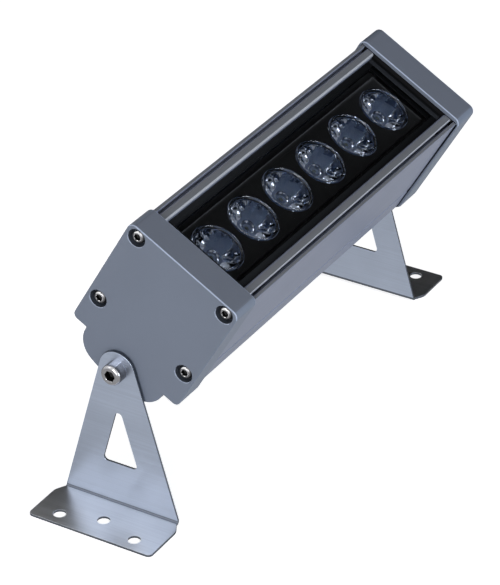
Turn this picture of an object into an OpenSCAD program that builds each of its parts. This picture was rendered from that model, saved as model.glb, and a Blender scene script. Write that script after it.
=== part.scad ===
// Outdoor wall washer light: a finned extruded housing with six lenses, tilting between two bent feet
// All sizes are in millimetres. The lamp's own section is drawn as (across, outwards) from the pivot axis.

/* [Pivot] */
// Tilt of the lamp at rest, measured from facing straight up
tilt = 30; // [0:1:60]
// Height of the pivot axis above the mounting surface
pivot_h = 61.6; // [60:0.1:80]
// Gap between each end cap and its bracket, filled by the friction washer
pivot_gap = 1.1; // [0.8:0.1:3]
// Diameter of the pivot bolt's thread
pivot_bolt_d = 5; // [4:0.1:6]
// Length of the pivot bolt under its head
pivot_bolt_l = 14; // [12:0.5:18]
// Diameter of the pivot bolt's head
pivot_head_d = 8.5; // [7.5:0.1:10]
// Height of the pivot bolt's head
pivot_head_h = 5; // [4:0.1:6]
// Outer diameter of the friction washer
friction_washer_d = 12; // [10:0.1:14]

/* [Bracket] */
// Thickness of the bracket sheet
sheet_t = 1; // [0.8:0.1:2]
// Inner radius of the bend between the upright and the foot
bend_r = 0.8; // [0.5:0.1:3]
// Width of the upright where its sides would meet the mounting surface
upright_base_w = 51.8; // [46:0.1:60]
// Radius of the upright's round tip about the pivot
tip_r = 7.8; // [6.5:0.1:9]
// Width of the foot
foot_w = 55.4; // [52:0.1:70]
// Depth of the foot from the upright's inner face to the foot's outer edge
foot_depth = 24.2; // [22:0.1:40]
// Length over which the foot widens beside the bend
foot_flare = 4; // [2:0.5:6]
// Radius of the foot's outer corners
foot_corner_r = 2; // [1:0.1:4]
// Radius of the foot's shoulders, where it stops widening
foot_shoulder_r = 5; // [1:0.5:6]
// Width of metal between the upright's edge and its cut-out
cutout_band = 12; // [9:0.1:14]
// Height of the cut-out's lower edge above the mounting surface
cutout_bottom = 19; // [12:0.5:24]
// Radius of the cut-out's corners
cutout_corner_r = 1.6; // [1:0.1:2]
// Diameter of the three mounting holes in each foot
foot_hole_d = 5; // [4:0.1:6]
// Distance between the two outer mounting holes of a foot
foot_hole_pitch = 33.8; // [28:0.1:42]
// Distance from the foot's outer edge to its outer mounting holes
foot_hole_edge = 5.8; // [4.6:0.1:9]
// Distance from the foot's outer edge to its middle mounting hole
foot_middle_edge = 10.6; // [9:0.1:13]

/* [Housing] */
// Width of the window between the housing's lips
window_w = 37.4; // [35:0.1:50]
// Width of each lip beside the window
lip_w = 6.3; // [6:0.1:9]
// Radius of each lip's edge beside the window
lip_edge_r = 1.1; // [0.3:0.1:1.3]
// Width of the ledge that carries the glass
ledge_w = 2; // [1.5:0.1:2.5]
// Thickness of the ledge
ledge_t = 1.6; // [1.2:0.1:2.5]
// Thickness of the housing's side walls
side_wall_t = 2.4; // [2:0.1:3.2]
// Distance from the pivot axis to the back edge of the fins
rear_v = 4.7; // [4.5:0.1:8]
// Depth of the cooling fins
fin_depth = 7.5; // [4:0.5:9]
// Thickness of the cooling fins
fin_t = 1.4; // [1:0.1:2]
// Thickness of the wall behind the driver
rear_wall_t = 2.5; // [2:0.1:3.5]
// Height of the driver compartment
driver_room_h = 17.8; // [17:0.1:24]
// Thickness of the shelf that carries the light board
shelf_t = 3.4; // [3:0.1:5]
// Space between the last lens's place and each end of the housing
end_margin = 3; // [3:0.5:10]
// Diameter of the screw channels
channel_d = 3.1; // [3.1:0.05:3.3]
// Width of the slot that opens each rear screw channel to the outside
channel_slot_w = 1.6; // [1.2:0.05:1.8]
// Width of the slot that opens each front screw channel through the lip
front_slot_w = 1.3; // [1.2:0.05:1.6]
// Distance from the side wall's outer face to the screw channels
channel_side = 3.8; // [3.6:0.05:4]
// Distance from the lip's front face to the front screw channels
channel_front = 2.2; // [2.1:0.05:3]
// Distance from the fins' back edge to the rear screw channels
channel_rear = 14.9; // [14.5:0.1:16]
// Wall thickness round the rear screw channels
channel_wall = 1.2; // [0.8:0.1:1.6]

/* [Optics] */
// Distance between the centres of neighbouring lenses
lens_pitch = 25.5; // [24.5:0.1:34]
// Diameter of a lens
lens_d = 21.2; // [18:0.1:22]
// Height of a lens
lens_h = 12; // [10:0.5:14]
// Thickness of the rim that a lens hangs by
lens_rim_t = 2; // [1.5:0.1:3]
// Height of a lens's face above the lens tray
lens_stand = 0.7; // [0.3:0.1:1.2]
// Gap between the lenses and the glass
lens_glass_gap = 0.8; // [0.6:0.1:3]
// Height of the light board's face below the lenses
lens_board_gap = 2.4; // [1.6:0.1:4]
// Thickness of the front glass
glass_t = 3; // [2:0.1:5]
// Depth of the front glass below the lips
glass_recess = 1.4; // [0.5:0.1:3]
// Thickness of the adhesive seal under the glass
glass_seal_t = 1; // [0.6:0.1:1.4]
// Width of the raised strip of the lens tray
tray_strip_w = 26.8; // [25:0.1:29]
// Distance from the raised strip's ends to the lens tray's ends
tray_strip_end = 4; // [1:0.1:6]
// Height of the raised strip of the lens tray
tray_step = 1.6; // [1:0.1:3]
// Thickness of the lens tray's flange
tray_flange_t = 1.4; // [1:0.1:2]
// Wall thickness of the lens tray's sockets
socket_wall = 0.8; // [0.6:0.1:1.2]
// Width of the ring inside each socket that carries the lens
socket_seat_w = 1.1; // [0.8:0.1:1.5]

/* [Light board] */
// Width of the light board
board_w = 32; // [28:0.5:33]
// Thickness of the light board
board_t = 1.6; // [1:0.1:2.4]
// Thickness of the thermal pad
pad_t = 0.4; // [0.2:0.1:1]
// Width of a light emitter
led_w = 3.5; // [2.8:0.1:4]
// Height of a light emitter's base
led_base_h = 0.8; // [0.5:0.1:1]
// Radius of a light emitter's dome
led_dome_r = 1.4; // [1:0.1:1.6]
// Distance of the light board's screws from its long centre line
board_screw_u = 13; // [12.6:0.1:13.2]

/* [Driver] */
// Thickness of the driver board
driver_t = 1.6; // [1:0.1:2]
// Space between the driver board and the shelf
driver_shelf_gap = 2.2; // [2:0.1:3]
// Length of the transformer
transformer_l = 24; // [16:0.5:26]
// Width of the transformer
transformer_w = 22; // [16:0.5:26]
// Height of the transformer
transformer_h = 12; // [8:0.5:12.5]
// Diameter of the storage capacitors
capacitor_d = 8; // [6:0.5:9]
// Height of the storage capacitors
capacitor_h = 12; // [8:0.5:12.5]
// Outer diameter of the choke
choke_d = 11; // [8:0.5:12]
// Height of the choke
choke_h = 8; // [6:0.5:10]
// Width of the terminal block
terminal_w = 15; // [12:0.5:18]
// Height of the terminal block
terminal_h = 9; // [7:0.5:11]
// Diameter of a lead between the driver and the light board
lead_d = 1.8; // [1:0.1:2]

/* [End caps] */
// Thickness of an end cap
cap_t = 13.4; // [12:0.1:18]
// Distance that a cap stands out beside the housing
cap_side = 1.3; // [1:0.1:4]
// Distance that a cap stands out in front of the lips
cap_front = 2; // [1:0.1:4]
// Distance that a cap stands out behind the fins
cap_rear = 0.4; // [0.1:0.1:1]
// Radius of a cap's front corners
cap_corner_r = 3; // [1.5:0.1:4]
// Radius of a cap's rear corners
ear_corner_r = 2.4; // [1:0.1:3]
// Width of the rounded belly round the pivot
belly_w = 38.4; // [30:0.1:42]
// Distance from the pivot axis to the belly's lowest point
belly_depth = 7.9; // [7.5:0.1:10]
// Radius of the belly's curved edge
belly_arc_r = 50; // [42:0.5:60]
// Radius of the belly's corners
belly_corner_r = 10; // [8:0.1:11]
// Thickness of the gasket between a cap and the housing
gasket_t = 1; // [0.6:0.1:2]
// Thickness of a cap's wall over its hollow
cap_wall_t = 4.9; // [4:0.1:6]
// Diameter of a cap screw's thread
cap_screw_d = 3; // [2.5:0.1:3]
// Length of a cap screw under its head
cap_screw_l = 20; // [16:1:30]
// Diameter of a cap screw's head
cap_head_d = 5.5; // [4.6:0.1:6]
// Height of a cap screw's head
cap_head_h = 3; // [2:0.1:3.2]
// Diameter of the counterbore round a cap screw's head
counterbore_d = 7.4; // [6.8:0.1:7.8]
// Depth of the counterbore round a cap screw's head
counterbore_depth = 3.6; // [3.3:0.1:5]

/* [Cable gland] */
// Diameter of the gland's thread
gland_thread_d = 12; // [10:0.1:14]
// Width across the flats of the gland and its nut
gland_flats = 15; // [14.5:0.1:17]
// Diameter of the hole for the cable
cable_hole_d = 6.5; // [4:0.1:7]
// Length of the gland's nut
gland_nut_l = 10; // [8:0.5:14]
// Thickness of the gland's sealing ring
gland_ring_t = 1; // [0.6:0.1:2]

/* [Hidden] */
$fn = 64;
// Overlap of a cut past the face that it opens
eps = 1;
// The two ends of the lamp, and its two sides
LEFT = -1;
RIGHT = 1;
SIDES = [LEFT, RIGHT];

// Clearances
// Round the glass in its window
glass_clear = 0.2;
// Between the lens tray and the mouth of the housing
tray_clear = 0.3;
// Between a lens and its socket, on the diameter
lens_clear = 0.2;
// Between a screw and the hole that it passes through, on the diameter
screw_clear = 0.4;
// Between the pivot bolt and its hole in the bracket, on the diameter
pivot_clear = 0.15;
// Between a thread and the thread that holds it, on the diameter
thread_clear = 0.1;
// Between a board and the groove or wall beside it
board_clear = 0.2;

// Levels of the housing's section, outwards from the pivot axis
rear_floor_v = rear_v + fin_depth + rear_wall_t;
shelf_under_v = rear_floor_v + driver_room_h;
shelf_v = shelf_under_v + shelf_t;
board_v = shelf_v + pad_t;
board_face_v = board_v + board_t;
lens_base_v = board_face_v + lens_board_gap;
lens_face_v = lens_base_v + lens_h;
lens_seat_v = lens_face_v - lens_rim_t;
glass_v = lens_face_v + lens_glass_gap;
glass_face_v = glass_v + glass_t;
ledge_v = glass_v - glass_seal_t;
front_v = glass_face_v + glass_recess;
tray_face_v = lens_face_v - lens_stand;
tray_flange_v = tray_face_v - tray_step;

// Widths of the housing's section
housing_w = window_w + 2 * lip_w;
housing_d = front_v - rear_v;
mouth_w = window_w - 2 * ledge_w;
room_w = housing_w - 2 * side_wall_t;
channel_u = housing_w / 2 - channel_side;
front_channel_v = front_v - channel_front;
rear_channel_v = rear_v + channel_rear;
channel_boss_d = channel_d + 2 * channel_wall;
rear_slot_reach = 2 * (channel_side + channel_d);
// Front slot beside its channel, across and down from the channel's centre
front_slot_u = channel_d / 2 - 0.45;
front_slot_drop = 1;
slot_edge_r = 0.6;
fin_count = 8;
fin_gap = (room_w - fin_count * fin_t) / (fin_count + 1);

// Driver board and the grooves that hold it
driver_v = shelf_under_v - driver_shelf_gap - driver_t;
rail_t = 1.2;
rail_depth = 2;
driver_w = room_w - 2 * board_clear;

// Lengths along the lamp
lens_count = 6;
housing_l = lens_count * lens_pitch + 2 * end_margin;
end_y = housing_l / 2;
cap_y = end_y + cap_t;
plate_y = cap_y + pivot_gap;
plate_face_y = plate_y + sheet_t;
board_l = housing_l - 1;

// Places of the driver's components on the board: across the lamp, then along it
transformer_y = -10;
transformer_core = 0.4;
transformer_lap = 1.5;
capacitor_places = [[-9, 16], [3, 16], [0, -44]];
choke_y = 36;
choke_hole = 0.4;
terminal_y = end_y - 25.5;
terminal_ways = 3;
terminal_depth = 10;
terminal_hole = 0.6;
chip_h = 2;
chip_boxes = [[-15, -34, 6, 9], [11, -58, 5, 6], [-15, 34, 7, 7], [11, 36, 5, 9]];

// Lenses
socket_d = lens_d + lens_clear;
socket_outer_d = socket_d + 2 * socket_wall;
socket_bore_d = socket_d - 2 * socket_seat_w;
lens_body_d = socket_bore_d - 0.4;
lens_tip_d = 9;
lens_dish_depth = 0.8;
lens_edge_w = 1.2;
led_recess_d = led_w * sqrt(2) + 0.8;
led_recess_h = 3.4;

// Screws of the light board
board_screw_d = 3;
board_screw_head_d = 5;
board_screw_head_h = 1.8;
board_screw_l = pad_t + board_t + shelf_t;
board_screw_places = [for (gap = [-2, 0, 2], side = SIDES) [side * board_screw_u, gap * lens_pitch]];

// Leads from the driver board to the light board, one on each side
lead_u = 13.5;
lead_bend_r = 1.8;
lead_hole_d = lead_d + 1.2;
lead_y = (lens_count / 2) * lens_pitch - 3.5;
lead_top_v = board_face_v + 1.6;

// Caps
cap_w = housing_w + 2 * cap_side;
cap_front_v = front_v + cap_front;
ear_v = rear_v - cap_rear;
hollow_w = mouth_w;
hollow_v = rear_floor_v + 0.5;
hollow_top_v = ledge_v - ledge_t;
hollow_depth = cap_t - cap_wall_t;
pivot_hole_d = pivot_bolt_d + pivot_clear;
pivot_socket_flats = 0.47 * pivot_head_d;
cap_socket_flats = 0.45 * cap_head_d;
cap_screw_places = [for (v = [front_channel_v, rear_channel_v], side = SIDES) [side * channel_u, v]];
gasket_bar_w = 3;

// Belly corner arcs, tangent to its sides and to its curved edge
belly_centre_v = belly_arc_r - belly_depth;
belly_corner_u = belly_w / 2 - belly_corner_r;
belly_corner_v = belly_centre_v - sqrt(pow(belly_arc_r - belly_corner_r, 2) - pow(belly_corner_u, 2));
belly_arc_u = belly_corner_u * belly_arc_r / (belly_arc_r - belly_corner_r);

// Cable gland, centred on the driver compartment
gland_v = (rear_floor_v + shelf_under_v) / 2 + 1.1;
gland_hex_l = 4;
gland_thread_l = 4;
gland_bore_d = gland_thread_d - 3;
gland_insert_l = 7;
gland_y = cap_y + gland_ring_t;
gland_end_y = gland_y + gland_hex_l + gland_thread_l;
gland_nut_y = gland_y + gland_hex_l + 0.6;
gland_nut_floor = 1.5;

// Bracket's upright: its sides are tangents from the base corners to the round tip
upright_half = upright_base_w / 2;
tip_distance = sqrt(pow(upright_half, 2) + pow(pivot_h, 2));
side_angle = atan2(pivot_h, -upright_half) - asin(tip_r / tip_distance) - 90;
side_slope = tan(side_angle);
bend_outer_r = bend_r + sheet_t;
foot_y = plate_y + foot_depth;
bend_y = plate_y + bend_outer_r;
foot_root_w = 2 * upright_half_at(bend_outer_r);
cutout_offset = cutout_band / cos(side_angle);

function upright_half_at(z) = upright_half - z * side_slope;
function unit(v) = v / norm(v);
function lens_y(index) = (index - (lens_count + 1) / 2) * lens_pitch;

// Half of the angle between two unit directions
function half_angle(a, b) = acos(a * b) / 2;

// Convex polygon with each corner rounded by its own radius, drawn with true arcs
module rounded_polygon(points, radii) {
    count = len(points);
    corners = [for (i = [0:count - 1])
        let (
            p = points[i],
            to_last = unit(points[(i + count - 1) % count] - p),
            to_next = unit(points[(i + 1) % count] - p),
            half = half_angle(to_last, to_next),
            reach = radii[i] / tan(half)
        )
        [p + reach * to_last, p + reach * to_next, p + unit(to_last + to_next) * radii[i] / sin(half)]];
    polygon([for (corner = corners, end = [0, 1]) corner[end]]);
    for (i = [0:count - 1])
        if (radii[i] > 0)
            translate(corners[i][2])
                circle(r = radii[i]);
}

// Rectangle standing on a level, centred across the lamp
module centred_rect(width, from_v, to_v) {
    translate([-width / 2, from_v])
        square([width, to_v - from_v]);
}

// Places children in the lamp's own frame, turned about the pivot axis
module in_lamp() {
    translate([0, 0, pivot_h])
        rotate([0, tilt, 0])
            children();
}

// Extrudes a section of the lamp along its length
module along(from_y, to_y) {
    translate([0, to_y, 0])
        rotate([90, 0, 0])
            linear_extrude(to_y - from_y)
                children();
}

// Turns children that rise along +Z so that they rise outwards from an end of the lamp
module outwards(side) {
    rotate([-90 * side, 0, 0])
        children();
}

// Draws what is made for the right end, at either end
module at_end(side) {
    mirror([0, side == LEFT ? 1 : 0, 0])
        children();
}

// Ring between two diameters
module ring(outer_d, inner_d, height) {
    difference() {
        cylinder(d = outer_d, h = height);
        translate([0, 0, -eps])
            cylinder(d = inner_d, h = height + 2 * eps);
    }
}

// Socket head cap screw with its head's underside on Z = 0 and its thread below
module cap_head_screw(thread_d, length, head_d, head_h, flats) {
    difference() {
        union() {
            cylinder(d = head_d, h = head_h);
            translate([0, 0, -length])
                cylinder(d = thread_d, h = length + head_h / 2);
        }
        translate([0, 0, head_h / 2])
            cylinder(d = flats / cos(30), h = head_h, $fn = 6);
    }
}

// Front screw channel with the slot beside it, which opens through the lip's face
module front_channel() {
    circle(d = channel_d);
    translate([front_slot_u, -front_slot_drop])
        square([front_slot_w, front_slot_drop + channel_front + eps]);
}

// Rear screw channel with its slanting slot through the side wall
module rear_channel() {
    circle(d = channel_d);
    rotate(-45)
        translate([0, -channel_slot_w / 2])
            square([rear_slot_reach, channel_slot_w]);
}

// What is cut off an edge at the origin, with the metal below it and to its left, to leave it round
module edge_waste(radius) {
    translate([-radius, -radius])
        difference() {
            square(radius + eps);
            circle(r = radius);
        }
}

// Rails that hold one long edge of the driver board
module driver_rails() {
    groove_v = [driver_v - board_clear / 2, driver_v + driver_t + board_clear / 2];
    for (rail_v = [groove_v[0] - rail_t, groove_v[1]])
        translate([room_w / 2 - rail_depth, rail_v])
            square([rail_depth + eps, rail_t]);
}

// Driver compartment's section, less what stands inside it
module driver_room() {
    difference() {
        centred_rect(room_w, rear_floor_v, shelf_under_v);
        for (side = [0, 1])
            mirror([side, 0]) {
                driver_rails();
                translate([channel_u, rear_channel_v])
                    circle(d = channel_boss_d);
            }
    }
}

// Extrusion's whole section
module housing_section() {
    difference() {
        centred_rect(housing_w, rear_v, front_v);
        centred_rect(window_w, ledge_v, front_v + eps);
        centred_rect(mouth_w, ledge_v - ledge_t - eps, ledge_v + eps);
        centred_rect(room_w, shelf_v, ledge_v - ledge_t);
        driver_room();
        for (i = [0:fin_count])
            translate([-room_w / 2 + i * (fin_gap + fin_t), rear_v - eps])
                square([fin_gap, fin_depth + eps]);
        for (side = [0, 1])
            mirror([side, 0]) {
                translate([channel_u, front_channel_v])
                    front_channel();
                translate([channel_u, rear_channel_v])
                    rear_channel();
                translate([channel_u + front_slot_u, front_v])
                    edge_waste(slot_edge_r);
                translate([window_w / 2, front_v])
                    mirror([1, 0])
                        edge_waste(lip_edge_r);
            }
    }
}

// Holes through the shelf, the pad and the light board for the two leads
module lead_holes(from_v, to_v) {
    for (side = SIDES)
        translate([side * lead_u, lead_y, from_v])
            cylinder(d = lead_hole_d, h = to_v - from_v);
}

// Holes for the light board's screws
module board_screw_holes(hole_d, from_v, to_v) {
    for (place = board_screw_places)
        translate([place[0], place[1], from_v])
            cylinder(d = hole_d, h = to_v - from_v);
}

// Plate lying in the lamp, centred on it
module lamp_plate(width, length, from_v, to_v) {
    translate([-width / 2, -length / 2, from_v])
        cube([width, length, to_v - from_v]);
}

module housing() {
    color("#7a7f8a")
        in_lamp()
            difference() {
                along(-end_y, end_y)
                    housing_section();
                board_screw_holes(board_screw_d + thread_clear, shelf_under_v - eps, shelf_v + eps);
                lead_holes(shelf_under_v - eps, shelf_v + eps);
            }
}

module front_glass() {
    glass_w = window_w - 2 * glass_clear;
    glass_l = housing_l - 2 * glass_clear;
    color("#cfe0e8", 0.35)
        in_lamp()
            lamp_plate(glass_w, glass_l, glass_v, glass_face_v);
}

module glass_seal() {
    seal_w = window_w - 2 * glass_clear;
    seal_l = housing_l - 2 * glass_clear;
    color("#202124")
        in_lamp()
            difference() {
                lamp_plate(seal_w, seal_l, ledge_v, glass_v);
                lamp_plate(mouth_w, seal_l - 2 * ledge_w, ledge_v - eps, glass_v + eps);
            }
}

module lens_tray() {
    flange_w = mouth_w - 2 * tray_clear;
    tray_l = housing_l - 2 * tray_clear;
    strip_l = tray_l - 2 * tray_strip_end;
    color("#151618")
        in_lamp()
            difference() {
                union() {
                    lamp_plate(tray_strip_w, strip_l, tray_flange_v - tray_flange_t, tray_face_v);
                    lamp_plate(flange_w, tray_l, tray_flange_v - tray_flange_t, tray_flange_v);
                    for (i = [1:lens_count])
                        translate([0, lens_y(i), board_face_v])
                            cylinder(d = socket_outer_d, h = tray_flange_v - board_face_v);
                }
                for (i = [1:lens_count])
                    translate([0, lens_y(i), 0]) {
                        translate([0, 0, lens_seat_v])
                            cylinder(d = socket_d, h = lens_rim_t);
                        translate([0, 0, board_face_v - eps])
                            cylinder(d = socket_bore_d, h = lens_seat_v - board_face_v + 2 * eps);
                    }
            }
}

// Collimator lens with a dished face, a hanging rim, a tapering body and a recess over the emitter
module lens(index) {
    rim_r = lens_d / 2;
    body_r = lens_body_d / 2;
    dish_r = rim_r - lens_edge_w;
    body_h = lens_h - lens_rim_t;
    color("#dfe8ee", 0.5)
        in_lamp()
            translate([0, lens_y(index), lens_base_v])
                rotate_extrude()
                    polygon([
                        [0, led_recess_h],
                        [led_recess_d / 2, led_recess_h],
                        [led_recess_d / 2, 0],
                        [lens_tip_d / 2, 0],
                        [body_r - 1.4, 0.6 * body_h],
                        [body_r, body_h],
                        [rim_r, body_h],
                        [rim_r, lens_h],
                        [dish_r, lens_h],
                        [dish_r - lens_dish_depth, lens_h - lens_dish_depth],
                        [0, lens_h - lens_dish_depth]
                    ]);
}

module light_board() {
    color("#e9ecec")
        in_lamp()
            difference() {
                lamp_plate(board_w, board_l, board_v, board_face_v);
                board_screw_holes(board_screw_d + screw_clear, board_v - eps, board_face_v + eps);
                lead_holes(board_v - eps, board_face_v + eps);
            }
}

module thermal_pad() {
    color("#9aa5b4")
        in_lamp()
            difference() {
                lamp_plate(board_w, board_l, shelf_v, board_v);
                board_screw_holes(board_screw_d + screw_clear, shelf_v - eps, board_v + eps);
                lead_holes(shelf_v - eps, board_v + eps);
            }
}

module light_board_screws() {
    color("#c8ccd2")
        in_lamp()
            for (place = board_screw_places)
                translate([place[0], place[1], board_face_v])
                    difference() {
                        union() {
                            cylinder(d = board_screw_head_d, h = board_screw_head_h);
                            translate([0, 0, -board_screw_l])
                                cylinder(d = board_screw_d, h = board_screw_l + eps);
                        }
                        for (turn = [0, 90])
                            rotate(turn)
                                translate([-1.4, -0.3, 0.8])
                                    cube([2.8, 0.6, board_screw_head_h]);
                    }
}

// Light emitter with its dome
module led(index) {
    color("#f2d36b")
        in_lamp()
            translate([0, lens_y(index), board_face_v])
                union() {
                    translate([-led_w / 2, -led_w / 2, 0])
                        cube([led_w, led_w, led_base_h]);
                    translate([0, 0, led_base_h])
                        difference() {
                            sphere(r = led_dome_r);
                            translate([0, 0, -led_dome_r - led_base_h / 2])
                                cube(2 * led_dome_r + eps, center = true);
                        }
                }
}

module driver_board() {
    driver_l = housing_l - 2 * board_clear;
    color("#1f5a3a")
        in_lamp()
            lamp_plate(driver_w, driver_l, driver_v, driver_v + driver_t);
}

module transformer() {
    core_w = transformer_w * transformer_core;
    core_l = transformer_l + 2 * transformer_lap;
    color("#c9a227")
        in_lamp()
            translate([0, transformer_y, driver_v - transformer_h])
                union() {
                    translate([-transformer_w / 2, -transformer_l / 2, transformer_h * 0.2])
                        cube([transformer_w, transformer_l, transformer_h * 0.6]);
                    translate([-core_w / 2, -core_l / 2, 0])
                        cube([core_w, core_l, transformer_h]);
                }
}

module capacitors() {
    color("#2b2f6b")
        in_lamp()
            for (place = capacitor_places)
                translate([place[0], place[1], driver_v - capacitor_h])
                    cylinder(d = capacitor_d, h = capacitor_h);
}

module choke() {
    color("#8a4b1f")
        in_lamp()
            translate([0, choke_y, driver_v - choke_h])
                difference() {
                    cylinder(d = choke_d, h = choke_h);
                    translate([0, 0, -eps])
                        cylinder(d = choke_d * choke_hole, h = choke_h);
                }
}

module terminal_block() {
    pitch = terminal_w / terminal_ways;
    hole_d = pitch * terminal_hole;
    color("#3f7d4f")
        in_lamp()
            translate([-terminal_w / 2, terminal_y, driver_v - terminal_h])
                difference() {
                    cube([terminal_w, terminal_depth, terminal_h]);
                    for (way = [0:terminal_ways - 1])
                        translate([(way + 0.5) * pitch, terminal_depth / 2, terminal_h / 3]) {
                            rotate([-90, 0, 0])
                                cylinder(d = hole_d, h = terminal_depth);
                            translate([0, 0, -terminal_h])
                                cylinder(d = hole_d, h = terminal_h);
                        }
                }
}

module driver_chips() {
    color("#17181a")
        in_lamp()
            for (box = chip_boxes)
                translate([box[0], box[1], driver_v - chip_h])
                    cube([box[2], box[3], chip_h]);
}

// Lead that rises through the shelf, bends over and comes down on the light board
module led_lead(side) {
    rise = lead_top_v - driver_v - driver_t;
    drop = lead_top_v - board_face_v;
    translate([side * lead_u, lead_y, 0]) {
        translate([0, 0, lead_top_v - rise])
            cylinder(d = lead_d, h = rise);
        translate([0, -lead_bend_r, lead_top_v])
            rotate([90, 0, 90])
                rotate_extrude(angle = 180)
                    translate([lead_bend_r, 0])
                        circle(d = lead_d);
        translate([0, -2 * lead_bend_r, lead_top_v - drop])
            cylinder(d = lead_d, h = drop);
    }
}

module led_leads() {
    color("#b3261e")
        in_lamp()
            for (side = SIDES)
                led_lead(side);
}

// Cap's outline: a rounded box with a belly round the pivot
module cap_outline() {
    half = cap_w / 2;
    rounded_polygon(
        [[-half, ear_v], [half, ear_v], [half, cap_front_v], [-half, cap_front_v]],
        [ear_corner_r, ear_corner_r, cap_corner_r, cap_corner_r]
    );
    intersection() {
        translate([0, belly_centre_v])
            circle(r = belly_arc_r, $fn = 128);
        centred_rect(2 * belly_arc_u, -belly_depth - eps, ear_v + eps);
    }
    for (side = SIDES)
        translate([side * belly_corner_u, belly_corner_v])
            circle(r = belly_corner_r);
    centred_rect(belly_w, belly_corner_v, ear_v + eps);
}

// End cap for the right end, with or without the cable gland's hole
module end_cap(has_gland) {
    in_lamp()
        difference() {
            along(end_y, cap_y)
                cap_outline();
            along(end_y - eps, end_y + gasket_t)
                centred_rect(housing_w, rear_v, front_v);
            along(end_y - eps, end_y + hollow_depth)
                centred_rect(hollow_w, hollow_v, hollow_top_v);
            for (place = cap_screw_places)
                translate([place[0], 0, place[1]])
                    outwards(RIGHT) {
                        translate([0, 0, end_y - eps])
                            cylinder(d = cap_screw_d + screw_clear, h = cap_t + 2 * eps);
                        translate([0, 0, cap_y - counterbore_depth])
                            cylinder(d = counterbore_d, h = counterbore_depth + eps);
                    }
            outwards(RIGHT)
                translate([0, 0, end_y - eps])
                    cylinder(d = pivot_bolt_d + thread_clear, h = cap_t + 2 * eps);
            if (has_gland)
                translate([0, 0, gland_v])
                    outwards(RIGHT)
                        translate([0, 0, end_y])
                            cylinder(d = gland_thread_d + thread_clear, h = cap_t + eps);
        }
}

module left_end_cap() {
    color("#747c8c")
        at_end(LEFT)
            end_cap(has_gland = false);
}

module right_end_cap() {
    color("#747c8c")
        at_end(RIGHT)
            end_cap(has_gland = true);
}

// Gasket that follows the housing's end, with windows over its two compartments
module cap_gasket() {
    bar_v = (shelf_v + shelf_under_v) / 2;
    inset = 0.1;
    in_lamp()
        difference() {
            along(end_y, end_y + gasket_t)
                centred_rect(housing_w - 2 * inset, rear_v + inset, front_v - inset);
            along(end_y - eps, end_y + gasket_t + eps) {
                centred_rect(hollow_w, hollow_v, bar_v - gasket_bar_w / 2);
                centred_rect(hollow_w, bar_v + gasket_bar_w / 2, hollow_top_v);
            }
            for (place = cap_screw_places)
                translate([place[0], 0, place[1]])
                    outwards(RIGHT)
                        translate([0, 0, end_y - eps])
                            cylinder(d = cap_screw_d + screw_clear, h = gasket_t + 2 * eps);
        }
}

module left_cap_gasket() {
    color("#2a2b2e")
        at_end(LEFT)
            cap_gasket();
}

module right_cap_gasket() {
    color("#2a2b2e")
        at_end(RIGHT)
            cap_gasket();
}

module cap_screws() {
    in_lamp()
        for (place = cap_screw_places)
            translate([place[0], 0, place[1]])
                outwards(RIGHT)
                    translate([0, 0, cap_y - counterbore_depth])
                        cap_head_screw(cap_screw_d, cap_screw_l, cap_head_d, cap_head_h, cap_socket_flats);
}

module left_cap_screws() {
    color("#c9cdd3")
        at_end(LEFT)
            cap_screws();
}

module right_cap_screws() {
    color("#c9cdd3")
        at_end(RIGHT)
            cap_screws();
}

// Places children on the cable gland's axis, rising outwards
module on_gland_axis(from_y) {
    in_lamp()
        translate([0, 0, gland_v])
            outwards(RIGHT)
                translate([0, 0, from_y])
                    children();
}

module gland_body() {
    inner_y = cap_y - cap_wall_t;
    color("#2c2d30")
        on_gland_axis(inner_y)
            difference() {
                union() {
                    cylinder(d = gland_thread_d, h = gland_end_y - inner_y);
                    translate([0, 0, gland_y - inner_y])
                        cylinder(d = gland_flats / cos(30), h = gland_hex_l, $fn = 6);
                }
                translate([0, 0, -eps])
                    cylinder(d = gland_bore_d, h = gland_end_y - inner_y + 2 * eps);
            }
}

module gland_nut() {
    color("#2c2d30")
        on_gland_axis(gland_nut_y)
            difference() {
                cylinder(d = gland_flats / cos(30), h = gland_nut_l, $fn = 6);
                translate([0, 0, -eps])
                    cylinder(d = gland_thread_d + thread_clear, h = gland_nut_l - gland_nut_floor + eps);
                cylinder(d = cable_hole_d, h = gland_nut_l + eps);
            }
}

module gland_insert() {
    insert_end = gland_nut_y + gland_nut_l - gland_nut_floor;
    color("#55575c")
        on_gland_axis(insert_end - gland_insert_l)
            ring(gland_bore_d - thread_clear, cable_hole_d, gland_insert_l);
}

module gland_ring() {
    color("#111214")
        on_gland_axis(cap_y)
            ring(gland_flats, gland_thread_d + screw_clear, gland_ring_t);
}

// Upright's outline, from above the bend to the round tip, in the plane across the lamp
module upright_outline() {
    root = foot_root_w / 2;
    apex = upright_half / side_slope;
    rounded_polygon([[-root, bend_outer_r], [root, bend_outer_r], [0, apex]], [0, 0, tip_r]);
}

// Cut-out in the upright, with sides parallel to the upright's own
module cutout_outline() {
    half = upright_half_at(cutout_bottom) - cutout_offset;
    apex = (upright_half - cutout_offset) / side_slope;
    radius = cutout_corner_r;
    rounded_polygon([[-half, cutout_bottom], [half, cutout_bottom], [0, apex]], [radius, radius, radius]);
}

// Foot's outline, seen from above
module foot_outline() {
    root = foot_root_w / 2;
    half = foot_w / 2;
    wide_y = bend_y + foot_flare;
    rounded_polygon(
        [[-root, bend_y], [root, bend_y], [half, wide_y], [half, foot_y], [-half, foot_y], [-half, wide_y]],
        [0, 0, foot_shoulder_r, foot_corner_r, foot_corner_r, foot_shoulder_r]
    );
}

// Quarter of a ring that joins the upright and the foot
module bend_outline() {
    intersection() {
        difference() {
            circle(r = bend_outer_r);
            circle(r = bend_r);
        }
        translate([-bend_outer_r, -bend_outer_r])
            square(bend_outer_r);
    }
}

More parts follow.
